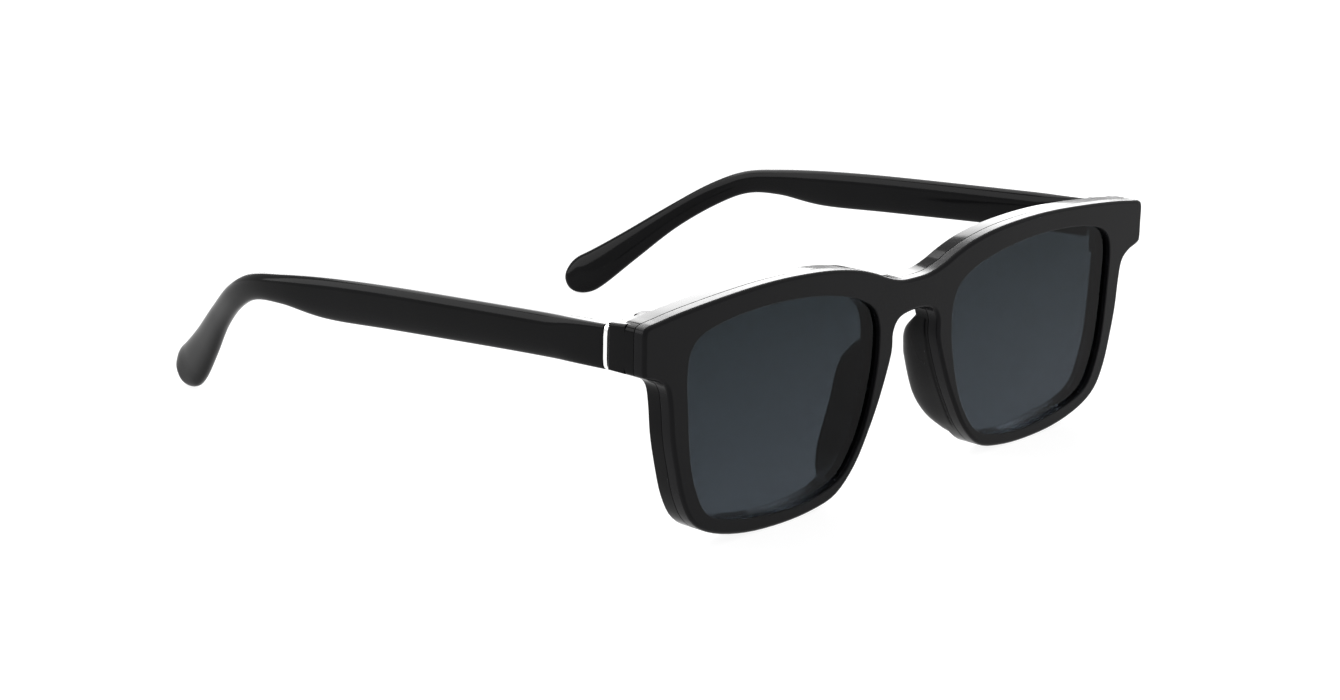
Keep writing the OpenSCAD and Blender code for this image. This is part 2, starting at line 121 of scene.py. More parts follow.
# %% [markdown]
# ## Helpers for modelling
# An operator works on whatever is selected, so each piece starts with nothing else selected. In edit
# mode, faces and edges are picked by their place or the way they face, as a hand would pick them.
# Picking by number would be shorter, but the numbers change with every step before it.

# %% Selecting and editing
sharp_angle = math.radians(50)
# An edge of a lens opening lies between the bridge and a little past the opening's far side
bridge_half, opening_spare = 9 * mm, 0.3 * mm


def only(*objects):
    """Selects these objects and nothing else, and makes the first one active."""
    if bpy.context.object and bpy.context.object.mode != "OBJECT":
        bpy.ops.object.mode_set(mode="OBJECT")
    bpy.ops.object.select_all(action="DESELECT")
    for item in objects:
        item.select_set(True)
    bpy.context.view_layer.objects.active = objects[0]


def edit(piece):
    """Goes into edit mode on a piece, with all of it selected."""
    only(piece)
    bpy.ops.object.mode_set(mode="EDIT")
    bpy.ops.mesh.select_all(action="SELECT")


def leave_edit():
    """Goes back to object mode."""
    bpy.ops.object.mode_set(mode="OBJECT")


def pick(piece, test, kind="faces"):
    """Selects, in edit mode, the faces or edges that pass a test."""
    bpy.ops.mesh.select_mode(type="FACE" if kind == "faces" else "EDGE")
    bpy.ops.mesh.select_all(action="DESELECT")
    mesh = bmesh.from_edit_mesh(piece.data)
    chosen = [part for part in getattr(mesh, kind) if test(part)]
    for part in chosen:
        part.select_set(True)
    bmesh.update_edit_mesh(piece.data)
    return len(chosen)


def is_sharp(edge):
    """True where two faces meet at more than the sharp angle."""
    return len(edge.link_faces) == 2 and edge.calc_face_angle(0) > sharp_angle


def at(place):
    """A test for edges with both ends where a test of a point says."""
    return lambda edge: all(place(vertex.co) for vertex in edge.verts)


def on_opening(edge):
    """True for an edge of a lens opening, whose wall faces the middle of the lens."""
    middle = (edge.verts[0].co + edge.verts[1].co) / 2
    if not bridge_half < abs(middle.x) < opening_high.x + opening_spare:
        return False
    wall = min(edge.link_faces, key=lambda face: abs(face.normal.y)).normal
    inward = Vector((math.copysign(opening_middle.x, middle.x) - middle.x, 0, opening_middle.z - middle.z))
    return wall.dot(inward) > 0


def on_outside(edge):
    """True for an edge of the outer outline."""
    return not on_opening(edge)


def round_edges(piece, width, segments, *tests):
    """Rounds the sharp edges that pass the tests."""
    edit(piece)
    count = pick(piece, lambda edge: is_sharp(edge) and all(test(edge) for test in tests), "edges")
    bpy.ops.mesh.bevel(offset=width, segments=segments, profile=0.5, clamp_overlap=False)
    leave_edit()
    return count


print("edges are sharp past", round(math.degrees(sharp_angle)), "degrees")

# %% [markdown]
# ## Helpers for finishing
# A modifier is set up and applied at once, so that each step leaves a plain mesh for the next one. A
# finished piece then gets smooth shading, is tied to the body that it moves with and to its finish,
# and the CAD nodes that it stands for are hidden.

# %% Modifiers and finishing
merge_reach = 0.002 * mm


def apply_modifier(piece, kind, **settings):
    """Adds a modifier, sets it up and applies it."""
    only(piece)
    modifier = piece.modifiers.new(kind.lower(), kind)
    for name, value in settings.items():
        setattr(modifier, name, value)
    bpy.ops.object.modifier_apply(modifier=modifier.name)


def merge_copy(node, name):
    """A new object with the mesh of a CAD node, its loose triangles merged."""
    piece = bpy.data.objects.new(name, frame["nodes"][node].data.copy())
    bpy.context.scene.collection.objects.link(piece)
    piece.data.materials.clear()
    only(piece)
    bpy.ops.mesh.customdata_custom_splitnormals_clear()
    edit(piece)
    bpy.ops.mesh.remove_doubles(threshold=merge_reach)
    bpy.ops.mesh.dissolve_limited(angle_limit=flat_angle)
    leave_edit()
    return piece


def combine(operation, piece, other):
    """Takes another piece away from one, adds it or keeps what both share, and removes the other."""
    apply_modifier(piece, "BOOLEAN", operation=operation, object=other, solver="EXACT")
    bpy.data.objects.remove(other)


def join(name, pieces):
    """Makes one object of several."""
    only(*pieces)
    bpy.ops.object.join()
    pieces[0].name = name
    return pieces[0]


def smooth(piece, angle=32):
    """Smooth shading that stays crisp past an angle, and leaves wide flat faces flat."""
    only(piece)
    bpy.ops.object.shade_smooth_by_angle(angle=math.radians(angle))
    apply_modifier(piece, "WEIGHTED_NORMAL", keep_sharp=True, weight=80)
    return piece


def mirror_copy(piece, name):
    """The right-hand twin of a left-hand piece, with its faces turned outward again."""
    twin = piece.copy()
    twin.data = piece.data.copy()
    twin.name = name
    bpy.context.scene.collection.objects.link(twin)
    edit(twin)
    bpy.ops.transform.resize(value=(-1, 1, 1), center_override=(0, 0, 0))
    bpy.ops.mesh.normals_make_consistent(inside=False)
    leave_edit()
    return twin


def settle(piece, body, slot, *nodes):
    """Ties a finished piece to its body and its finish, and hides the CAD nodes that it stands for."""
    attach(piece, body)
    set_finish(piece, slot)
    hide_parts(*nodes)
    print(piece.name, len(piece.data.polygons), "faces")


print("points closer than", merge_reach / mm, "mm are merged")

# %% [markdown]
# ## A plate with both lens openings
# The clip and the spectacle front share one outline, with two openings in it. It could be drawn anew
# as a curve, but the quickest exact way is to lift the flat front face off the CAD clip, clean it, and
# extrude it to its depth. The sharp edges then get a small rounding, because moulded plastic never has
# a knife edge, and it is this rounding that catches the light.

# %% Plate helper
def faces_front(face):
    """True for a face that looks straight forward, towards -Y."""
    return face.normal.y < -0.99


def on_clip_face(face):
    """True for the flat front face of the CAD clip."""
    return faces_front(face) and abs(face.calc_center_median().y - clip_low.y) < near


def front_plate(name, y, depth, front_round, opening_round, rear_round):
    """A plate with the clip's outline, from y backwards, with a rounding for each kind of edge."""
    plate = merge_copy("clip_front", name)
    edit(plate)
    pick(plate, lambda face: not on_clip_face(face))
    bpy.ops.mesh.delete(type="FACE")
    bpy.ops.mesh.select_all(action="SELECT")
    bpy.ops.mesh.dissolve_limited(angle_limit=flat_angle)
    bpy.ops.mesh.select_all(action="SELECT")
    bpy.ops.mesh.extrude_region_move(TRANSFORM_OT_translate={"value": (0, depth, 0)})
    bpy.ops.mesh.select_all(action="SELECT")
    bpy.ops.mesh.normals_make_consistent(inside=False)
    bpy.ops.transform.translate(value=(0, y - clip_low.y, 0))
    leave_edit()
    front = at(lambda co: abs(co.y - y) < near)
    rear = at(lambda co: abs(co.y - y - depth) < near)
    outside = round_edges(plate, front_round, 6, front, on_outside)
    openings = round_edges(plate, opening_round, 3, front, on_opening)
    back = round_edges(plate, rear_round, 3, rear)
    print(name, "rounded", outside, "outer,", openings, "opening and", back, "rear edges")
    return plate

# %% [markdown]
# ## Pockets for the magnets
# On the real pair each magnet is pressed into a round pocket, a hair wider and deeper than itself.
# Four cylinders are set where the CAD has the magnets and cut away, as a drill would. Their places are
# read from the CAD, so a pocket is always where its magnet is.

# %% Pocket helper
def magnet_pockets(name, corner_node, bridge_node):
    """Four short cylinders, a hair larger than the magnets that they make room for."""
    spare, deeper = 0.02 * mm, 0.1 * mm
    cutters = []
    for node in (corner_node, bridge_node):
        low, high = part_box(node)
        radius = (high.z - low.z) / 2
        for side in (-1, 1):
            bpy.ops.mesh.primitive_cylinder_add(
                vertices=48,
                radius=radius + spare,
                depth=high.y - low.y + 2 * deeper,
                location=(side * (high.x - radius), (low.y + high.y) / 2, (low.z + high.z) / 2),
                rotation=(math.radians(90), 0, 0),
            )
            cutters.append(bpy.context.object)
    return join(name, cutters)

# %% [markdown]
# ## The clip
# The sun front is a plate of 2.4 mm. Its front edges are rounded most, and its rear edges a little, so
# that a fine dark line is left where it lies on the spectacles. Four pockets in its rear face hold the
# magnets.

# %% Clip front
clip_depth = clip_high.y - clip_low.y
clip_front = front_plate(
    "clip_frame", clip_low.y, clip_depth,
    front_round=0.7 * mm, opening_round=0.22 * mm, rear_round=0.1 * mm,
)
clip_pockets = magnet_pockets("clip_pockets", "clip_corner_magnets", "clip_bridge_magnets")
combine("DIFFERENCE", clip_front, clip_pockets)
smooth(clip_front)
settle(clip_front, "clip", "clip_plastic", "clip_front")

# %% [markdown]
# ## Curves through a few points
# A nose pad and a temple change their section all along. Their shapes are given at a few places and
# filled in with a smooth curve, the same one that the measured model uses. A solid is then made from
# its sections, one extrusion from each to the next. Sculpting a cube would do as well, but sections
# stay exact and can be measured.

# %% Smooth curve
def smooth_path(points, steps):
    """Points on a smooth curve through the given ones, which may have any number of coordinates."""
    path = []
    for i in range(len(points) - 1):
        p0, p1, p2, p3 = (Vector(points[min(max(k, 0), len(points) - 1)]) for k in (i - 1, i, i + 1, i + 2))
        for k in range(steps):
            t = k / steps
            path.append((
                2 * p1 + (p2 - p0) * t + (2 * p0 - 5 * p1 + 4 * p2 - p3) * t**2
                + (3 * p1 - p0 - 3 * p2 + p3) * t**3
            ) / 2)
    return path + [Vector(points[-1])]


def loft(name, rings):
    """A closed solid through rings of points: a circle is extruded once for each ring, and each
    extruded ring is put in its place before the next one."""
    bpy.ops.mesh.primitive_circle_add(vertices=len(rings[0]), radius=1, fill_type="NGON")
    piece = bpy.context.object
    piece.name = name
    before = [v.co.copy() for v in piece.data.vertices]
    edit(piece)
    for index, ring in enumerate(rings):
        if index:
            bpy.ops.mesh.extrude_region_move(TRANSFORM_OT_translate={"value": (0, 0, 0)})
        mesh = bmesh.from_edit_mesh(piece.data)
        for vertex in [v for v in mesh.verts if v.select]:
            nearest = min(range(len(before)), key=lambda k: (vertex.co - before[k]).length_squared)
            vertex.co = ring[nearest]
        bmesh.update_edit_mesh(piece.data)
        before = ring
    bpy.ops.mesh.select_all(action="SELECT")
    bpy.ops.mesh.normals_make_consistent(inside=False)
    leave_edit()
    return piece


print("a curve through 3 points, in 4 steps each:", len(smooth_path([(0, 0), (1, 1), (2, 0)], 4)), "points")

# %% [markdown]
# ## Nose pads
# On plastic frames the nose pads are moulded in one piece with the rims. Each pad is a fin that grows
# out of the rear of the rim, with a convex skin that leans away from the nose and turns over a round
# rear edge. It is lofted: level outlines are stacked from the top of the pad to its foot, each one as
# deep as the profile says. A cut cube would give the reach, but not the skin that the nose feels.

# %% Nose pad sizes
rim_nose, rim_temple, rim_top = 4.2 * mm, 3.95 * mm, 3.95 * mm
rim_low_x = opening_low.x - rim_nose
rim_width = opening_size.x + rim_nose + rim_temple
rim_height = opening_high.z + rim_top

# Shares of the rim's width and height along its nose side, from the foot of the pad up
rim_nose_edge = [(0.252, 0.044), (0.165, 0.142), (0.1, 0.277), (0.05, 0.41), (0.005, 0.57), (0, 0.66)]
opening_nose_edge = [(0.3, 0.019), (0.184, 0.07), (0.109, 0.179), (0.053, 0.322), (0.01, 0.53), (0, 0.68)]
# Height as a share of the rim's, and reach as a share of the pad's, from the top down
pad_profile = [
    (0.66, 0.02), (0.63, 0.28), (0.585, 0.64), (0.53, 0.88), (0.46, 1), (0.37, 1.02),
    (0.28, 1), (0.21, 0.93), (0.155, 0.76), (0.11, 0.45), (0.08, 0.02),
]
# The pad's skin from its root to its rear edge, as shares of its swell across and of its depth
pad_skin = [(0.015, 0.28), (0.09, 0.54), (0.3, 0.78), (0.62, 0.94)]
# How deep the pad is rooted, how wide and how round its rear edge is, and its inset in the opening
pad_root, pad_edge, pad_round, pad_inset = 0.3 * mm, 0.8 * mm, 2.3 * mm, 0.15 * mm
# How far the pad stands proud of the rim and is sunk in it, and the share of its reach for that
pad_proud, pad_sunk, proud_share = 0.45 * mm, 0.1 * mm, 0.4
# Where the pad starts behind the face of the front, the slant there, and its wall along the rim
pad_start, pad_slant = 0.25 * mm, 0.3 * mm
pad_wall = front_depth - pad_root - pad_start
pad_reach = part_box("base_front")[1].y - base_back
print("a pad reaches", round(pad_reach / mm, 1), "mm behind the front")

# %% Nose pad
def across_at(height, shares, low_x, low_z, width, tall):
    """Where a curved edge lies at some height."""
    places = [Vector((low_x + s.x * width, low_z + s.y * tall)) for s in smooth_path(shares, 6)]
    for a, b in zip(places, places[1:]):
        if a.y <= height <= b.y:
            return a.x + (b.x - a.x) * (height - a.y) / (b.y - a.y)
    return places[0].x if height < places[0].y else places[-1].x


def pad_ring(height_share, reach_share):
    """One level outline of a nose pad: back along the rim's wall, over the pad's skin and round its
    rear edge."""
    z = rim_height * height_share
    proud = min(reach_share, proud_share) * pad_proud - pad_sunk
    inner = across_at(z, rim_nose_edge, rim_low_x, 0, rim_width, rim_height) - proud
    outer = across_at(
        z, opening_nose_edge, opening_low.x, opening_low.z, opening_size.x, opening_size.z
    ) - 2 * pad_inset
    depth = (pad_reach + pad_root) * min(reach_share, 1)
    crest = min(inner + 2 * pad_inset + pad_round * min(reach_share, 1), outer - pad_edge)
    swell = crest - inner
    profile = [
        (inner + pad_slant, -pad_wall), (inner, -0.85 * pad_wall), (inner, -0.4 * pad_wall), (inner, 0),
        *[(inner + across * swell, depth * back) for across, back in pad_skin], (crest, depth),
        (crest + 0.5 * pad_edge, depth * 0.96), ((outer + crest + pad_edge) / 2, depth * 0.6),
        (outer, depth * 0.12), (outer, 0), (outer, -pad_wall),
    ]
    return [Vector((p.x, base_back - pad_root + p.y, z)) for p in smooth_path(profile, 3)]


pad = loft("nose_pad", [pad_ring(s.x, max(s.y, 0.02)) for s in smooth_path(pad_profile, 5)])
print("nose pad", len(pad.data.polygons), "faces")

# %% [markdown]
# ## Endpieces
# The corners of the front are thick, because each one holds a hinge. A block is added behind the
# front, flush with its side: a cube whose inner side is slanted and whose top rises a little towards
# the front. Moving the edges of a cube is quicker than drawing such a shape, and the roundings come
# last, when its corners are where they belong. The top gets a wider one than the foot, which is what
# shows as a soft shoulder beside the temple.

# %% Endpiece block
joint_gap = 0.1 * mm
block_width, block_height, block_sunk = 7.2 * mm, 8 * mm, 1 * mm
block_inset, block_raise = 0.03 * mm, 0.45 * mm
block_out, block_back = half_width - block_inset, plate_low.y - joint_gap
block_middle_z = hinge.z + block_raise
block_low = Vector((block_out - block_width, base_back - block_sunk, block_middle_z - block_height / 2))
block_high = Vector((block_out, block_back, block_middle_z + block_height / 2))
bpy.ops.mesh.primitive_cube_add(
    size=1, location=(block_low + block_high) / 2, scale=block_high - block_low
)
bpy.ops.object.transform_apply()
block = bpy.context.object

# %% Endpiece slants
slanted_share = 0.4
block_flare, inner_rise, inner_drop, front_rise = 2.4 * mm, 0.6 * mm, 2 * mm, 0.4 * mm


def move_edges(piece, place, **shift):
    """Moves the edges whose ends are both at a place, by some length along x or z."""
    pick(piece, at(place), "edges")
    bpy.ops.transform.translate(value=(shift.get("x", 0), 0, shift.get("z", 0)))


edit(block)
bpy.ops.mesh.bisect(plane_co=(block_low.x + slanted_share * block_width, 0, 0), plane_no=(1, 0, 0))
move_edges(block, lambda co: abs(co.x - block_low.x) < near and co.y < base_back, x=-block_flare)
move_edges(block, lambda co: co.x < block_low.x + near and co.z > hinge.z, z=inner_rise)
move_edges(block, lambda co: co.x < block_low.x + near and co.z < hinge.z, z=-inner_drop)
move_edges(block, lambda co: co.y < base_back and co.z > hinge.z, z=front_rise)
leave_edit()
round_edges(block, 0.7 * mm, 5, at(lambda co: co.y > block_back - near))
round_edges(block, 0.6 * mm, 5, at(lambda co: co.x > block_out - near and co.z > hinge.z))
round_edges(block, 0.3 * mm, 3, at(lambda co: co.x > block_out - near and co.z < hinge.z))
print("endpiece block", len(block.data.polygons), "faces")

# %% [markdown]
# ## The spectacle front
# The plate, the pads and the blocks are joined with a Boolean modifier, so that they are one closed
# skin like the real moulding. Pieces that only stand in each other would show a crease where they
# meet. The same modifier then cuts the magnet pockets, and a square notch in each block for the
# barrel of the hinge. The front comes a little nearer to the clip than in the CAD, so that only a
# fine line is left between them.

# %% Spectacle front
closer = 0.06 * mm
pad_right = mirror_copy(pad, "nose_pad_right")
block_right = mirror_copy(block, "endpiece_block_right")
base_front = front_plate(
    "spectacle_frame", base_y - closer, front_depth + closer,
    front_round=0.1 * mm, opening_round=0.1 * mm, rear_round=0.4 * mm,
)
combine("UNION", base_front, join("front_additions", [pad, pad_right, block, block_right]))

# %% Notches and pockets
barrel_room = plate_low.x - hinge.x
notches = []
for side in (-1, 1):
    bpy.ops.mesh.primitive_cube_add(
        size=1,
        location=(side * hinge.x, hinge.y, hinge.z),
        scale=(2 * barrel_room, 2 * barrel_room, 4 * block_height),
    )
    bpy.ops.object.transform_apply()
    notches.append(bpy.context.object)
combine("DIFFERENCE", base_front, join("notches", notches))
front_pockets = magnet_pockets("front_pockets", "base_corner_magnets", "base_bridge_magnets")
combine("DIFFERENCE", base_front, front_pockets)
smooth(base_front)
settle(base_front, "front", "frame_plastic", "base_front")

# %% [markdown]
# ## Clear lenses
# The spectacle lenses are thin and gently domed. A flat grid is bent by the formula of a shallow
# dome, thickened with Solidify, and cut to the outline of the lens with a Boolean. A grid has enough
# points inside to be curved, which a single flat face hasn't.

# %% Clear lenses
def clear_lens(name):
    """The left clear lens. Its grid is wider than the lens, and its cutter is longer than the dome."""
    low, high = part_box("base_lens_left")
    dome_radius, thick, wider, cutter_length = 700 * mm, 1.2 * mm, 2 * mm, 6 * mm
    middle = Vector(((low.x + high.x) / 2, low.y, (low.z + high.z) / 2))
    bpy.ops.mesh.primitive_grid_add(
        x_subdivisions=48, y_subdivisions=36, size=1, location=middle, rotation=(math.radians(90), 0, 0)
    )
    lens = bpy.context.object
    lens.scale = (high.x - low.x + wider, high.z - low.z + wider, 1)
    bpy.ops.object.transform_apply()
    for vertex in lens.data.vertices:
        off = Vector((vertex.co.x - middle.x, vertex.co.z - middle.z))
        vertex.co.y += off.length_squared / (2 * dome_radius)
    apply_modifier(lens, "SOLIDIFY", thickness=thick, offset=-1)
    outline = merge_copy("clip_lens_left", "lens_outline")
    edit(outline)
    pick(outline, lambda face: not faces_front(face))
    bpy.ops.mesh.delete(type="FACE")
    bpy.ops.mesh.select_all(action="SELECT")
    bpy.ops.mesh.extrude_region_move(TRANSFORM_OT_translate={"value": (0, cutter_length, 0)})
    bpy.ops.mesh.select_all(action="SELECT")
    bpy.ops.mesh.normals_make_consistent(inside=False)
    leave_edit()
    combine("INTERSECT", lens, outline)
    lens.name = name
    return smooth(lens)


clear_left = clear_lens("clear_lens_left")
clear_right = mirror_copy(clear_left, "clear_lens_right")
smooth(clear_right)
settle(clear_left, "front", "clear_lens", "base_lens_left")
settle(clear_right, "front", "clear_lens", "base_lens_right")

# %% [markdown]
# ## Temples
# A temple is a bar with a nearly oval section, squarer where it meets the end plate. It runs straight
# back, bends down over the ear, and ends in a thicker, full and round tip that leans inward. A curve
# with a bevel would keep one section all along, so a ring with the shape of the section is extruded
# from place to place along the line of the temple instead, and turned and sized at each one.

# %% Temple line
temple_low, temple_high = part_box("temple_left")
temple_height, neck_height, tip_height = 7.7 * mm, 5 * mm, 8.8 * mm
temple_thick, tip_thick = 3 * mm, 3.6 * mm
# The straight part's length and drop from the hinge, and the tip's end: back, height and lean inward
straight_length, straight_drop = 83 * mm, 5.6 * mm
tip_back, tip_z, tip_lean = 133.8 * mm, 1.12 * mm, 15 * mm
temple_out, temple_start = plate_high.x, plate_high.y
bend = Vector((hinge.y + straight_length, hinge.z - straight_drop))
tip_run = Vector((tip_back - straight_length, tip_z - bend.y, tip_lean))
# Shares of the straight part's length and drop, and of the bent part's run back, down and inward
straight_shape = [(0, 0), (0.27, 0.25), (0.63, 0.63), (0.85, 0.9), (1, 1)]
bent_shape = [
    (0.18, 0.045, 0.05), (0.34, 0.17, 0.18), (0.52, 0.38, 0.42), (0.7, 0.63, 0.68),
    (0.84, 0.82, 0.86), (0.92, 0.91, 0.94), (0.99, 0.985, 1),
]
line_points = [
    (temple_start + s * (bend.x - temple_start), hinge.z + d * (bend.y - hinge.z), 0)
    for s, d in straight_shape
] + [(bend.x + s * tip_run.x, bend.y + d * tip_run.y, lean * tip_run.z) for s, d, lean in bent_shape]
# The section's height and thickness at each of these places
heights = [temple_height * k for k in (1, 1, 1.03, 1)]
heights += [neck_height + (temple_height - neck_height) * k for k in (0.26, 0, 0, 0.11)]
heights += [neck_height + (tip_height - neck_height) * k for k in (0.5, 0.92, 1.08, 1.1)]
thicks = [temple_thick] * 8 + [temple_thick + (tip_thick - temple_thick) * k for k in (0.6, 1, 1, 0.95)]
line_steps = 12
temple_line = smooth_path(line_points, line_steps)
temple_sizes = smooth_path(list(zip(heights, thicks)), line_steps)
run = [0]
for a, b in zip(temple_line, temple_line[1:]):
    run.append(run[-1] + (b - a).length)
print("the temple's line is", round(run[-1] / mm, 1), "mm long, in", len(run), "points")

# %% Temple section
ring_points = 48
# How square the section is: 2 is an ellipse, and more is nearer to a rectangle. It is squarer by as
# much as this at the end plate, and less and less so over this length.
oval, squarer, squarer_length = 2.4, 4, 12 * mm


def on_line(distance):
    """Place, direction in the side view, height and thickness at a distance along the temple."""
    k = max(i for i in range(len(run) - 1) if run[i] <= max(distance, 0))
    share = (distance - run[k]) / (run[k + 1] - run[k])
    a, b = max(k - 1, 0), min(k + 2, len(run) - 1)
    place = temple_line[k].lerp(temple_line[k + 1], share) if share < 1 else (
        temple_line[k + 1] + (temple_line[k + 1] - temple_line[k]) * (share - 1)
    )
    along = Vector((temple_line[b] - temple_line[a])[:2]).normalized()
    tall, thick = temple_sizes[k].lerp(temple_sizes[k + 1], min(share, 1))
    return place, along, tall, thick


def temple_ring(distance, tall_share=1, thick_share=1):
    """The section of the temple at one place, as points round it."""
    place, along, tall, thick = on_line(distance)
    if distance <= 0:
        along = Vector((1, 0))
    tall, thick = tall * tall_share, thick * thick_share
    power = oval + squarer * max(1 - distance / squarer_length, 0)
    ring = []
    for k in range(ring_points):
        turn = math.radians(360 / ring_points * k)
        u, v = (
            size / 2 * math.copysign(abs(share) ** (2 / power), share)
            for size, share in ((thick, math.cos(turn)), (tall, math.sin(turn)))
        )
        ring.append(Vector((
            temple_out - temple_thick / 2 - place.z + u, place.x - along.y * v, place.y + along.x * v
        )))
    return ring


print("a section has", len(temple_ring(0)), "points")

# %% Temple ends
# Over what length the tip's end closes, in height and in thickness, and how hard its last ring is shut
round_end, round_side, shut = 7 * mm, 1.9 * mm, 0.0002
# The start is a little smaller than the rest, for a broken edge: its shares and its length
start_tall, start_thick, start_edge = 0.96, 0.92, 0.12 * mm
# Directions, in degrees, of the rings on the round end
end_turns = range(5, 91, 5)


def closed_share(left, length):
    """How the end closes: 1 until the last stretch, then a full curve down to almost nothing."""
    return max(1 - max(1 - left / length, 0) ** 2, shut) ** 0.5


def temple_rings(extra):
    """All rings, with the tip's end moved out by some length."""
    end = run[-1] + extra
    stops = [d for d in run[1:] if d < end - round_end]
    stops += [end - round_end * (1 - math.sin(math.radians(turn))) for turn in end_turns]
    rings = [temple_ring(0, start_tall, start_thick)]
    rings.append([point + Vector((0, start_edge, 0)) for point in temple_ring(0)])
    for distance in stops:
        left = end - distance
        rings.append(temple_ring(distance, closed_share(left, round_end), closed_share(left, round_side)))
    return rings


print("the tip closes over its last", round(round_end / mm, 1), "mm")

# %% [markdown]
# ## Temples of the right length
# The round end moves with the line that it closes, so its length isn't known before it is made. It is
# made a few times, and each time the line is mended by what the tip is still short of the CAD. Then
# the rings become a solid, and the right temple is its mirror image.

# %% Temples
tries, end_spare = 6, 0.005 * mm
short_by = 0
for _ in range(tries):
    rings = temple_rings(short_by)
    short_by += temple_high.y - max(point.y for ring in rings for point in ring) - end_spare
lowest = min(point.z for ring in rings for point in ring)
print("temple", len(rings), "rings, end moved", round(short_by / mm, 2), "mm")
print("its lowest point", round(lowest / mm, 3), "mm, the model's", round(temple_low.z / mm, 3), "mm")
temple_left = loft("temple_arm_left", rings)
temple_right = mirror_copy(temple_left, "temple_arm_right")
for arm, side in ((temple_left, "left"), (temple_right, "right")):
    smooth(arm, angle=45)
    settle(arm, f"{side}_temple", "frame_plastic", f"temple_{side}")

# %% [markdown]
# ## Metal parts
# The hinges, screws, end plates and magnets are right in the CAD model, but their edges are razor
# sharp. They could be modelled anew, but it is enough that each one is copied, merged, and given a
# fine rounding that catches the light. Real parts of this size are stamped or turned, and then
# tumbled, which rounds their edges just so.

# %% Metal parts
def softened(node, name, width, body, slot):
    """A copy of a CAD piece with rounded edges, settled in its place."""
    piece = merge_copy(node, name)
    round_edges(piece, width, 3)
    smooth(piece)
    settle(piece, body, slot, node)


for side in ("left", "right"):
    softened(f"end_plate_{side}", f"bright_plate_{side}", 0.1 * mm, f"{side}_temple", "end_plate")
    softened(f"temple_hinge_{side}", f"temple_knuckle_{side}", 0.07 * mm, f"{side}_temple", "hinge_metal")
    softened(f"front_hinge_{side}", f"front_knuckles_{side}", 0.07 * mm, "front", "hinge_metal")
    softened(f"hinge_screw_{side}", f"screw_{side}", 0.05 * mm, "front", "hinge_metal")
for node, body in (("base_corner_magnets", "front"), ("base_bridge_magnets", "front"),
                   ("clip_corner_magnets", "clip"), ("clip_bridge_magnets", "clip")):
    softened(node, node.replace("magnets", "discs"), 0.08 * mm, body, "magnet")

# %% [markdown]
# ## A small language for shaders
# A material is a graph of nodes. Written as Python sums, its maths stays readable: `0.1 + mask * 0.2`
# adds two Math nodes. One method adds every other kind of node, which is shorter than a few lines for
# each and shows what matters, the kind and the values.

# %% Shader helpers
class Value:
    """A number that varies over a surface, as a socket that can be used in sums."""

    def __init__(self, tree, socket):
        self.tree, self.socket = tree, socket

    def sum(self, operation, first, second):
        """A Math node on two values or numbers."""
        node = self.tree.nodes.new("ShaderNodeMath")
        node.operation = operation
        for place, item in zip(node.inputs, (first, second)):
            if isinstance(item, Value):
                self.tree.links.new(item.socket, place)
            else:
                place.default_value = item
        return Value(self.tree, node.outputs[0])

    def __add__(self, other):
        return self.sum("ADD", self, other)

    def __radd__(self, other):
        return self.sum("ADD", other, self)

    def __mul__(self, other):
        return self.sum("MULTIPLY", self, other)

    def __rmul__(self, other):
        return self.sum("MULTIPLY", other, self)

    def larger(self, other):
        return self.sum("MAXIMUM", self, other)


class Finish:
    """A material, or the world, in the making."""

    def __init__(self, owner):
        owner.use_nodes = True
        self.owner, self.tree = owner, owner.node_tree
        self.tree.nodes.clear()

    def add(self, kind, settings=None, **sockets):
        """A node of a kind, with its settings, and with its sockets set or linked. A socket's name is
        written in lower case with _ for a space."""
        node = self.tree.nodes.new(kind)
        for name, value in (settings or {}).items():
            setattr(node, name, value)
        for name, value in sockets.items():
            socket = next(s for s in node.inputs if s.name.lower().replace(" ", "_") == name and s.enabled)
            if isinstance(value, Value):
                self.tree.links.new(value.socket, socket)
            elif isinstance(value, bpy.types.NodeSocket):
                self.tree.links.new(value, socket)
            else:
                socket.default_value = value
        return node

    def noise(self, scale, detail, stretch=(1, 1, 1)):
        """Noise from 0 to 1 on the object's own coordinates, scale being its waves per metre."""
        place = self.add("ShaderNodeTexCoord").outputs["Object"]
        mapped = self.add("ShaderNodeMapping", vector=place, scale=stretch)
        node = self.add("ShaderNodeTexNoise", vector=mapped.outputs[0], scale=scale, detail=detail)
        return Value(self.tree, node.outputs[0])

    def blend(self, factor, first, second):
        """A colour between two others."""
        node = self.add("ShaderNodeMix", {"data_type": "RGBA"}, factor=factor, a=first, b=second)
        return node.outputs["Result"]

    def bump(self, height, depth):
        """The normal of a surface with small hills, depth metres high."""
        return self.add("ShaderNodeBump", strength=1, distance=depth, height=height).outputs[0]

    def surface(self, **sockets):
        """Finishes the material with one shader, and returns it."""
        shader = self.add("ShaderNodeBsdfPrincipled", **sockets)
        self.add("ShaderNodeOutputMaterial", surface=shader.outputs[0])
        return self.owner


def new_finish(name):
    """Starts a material."""
    return Finish(bpy.data.materials.new(name))


def dress(piece, material):
    """Gives a piece one material, without touching its mesh."""
    if not piece.material_slots:
        piece.data.materials.append(material)
    for spot in piece.material_slots:
        spot.material = material


print("a finish is made with:", ", ".join(name for name in vars(Finish) if not name.startswith("_")))

# %% [markdown]
# ## Plastics
# The spectacles are polished: a low roughness, with faint smudges that make it vary, and waves a few
# microns high, as on any moulding. The clip is a satin plastic, so its roughness is higher and a fine
# grain breaks up its reflections. A single black would look like a hole. Both mirror less than real
# plastic does, because this studio is white all round.

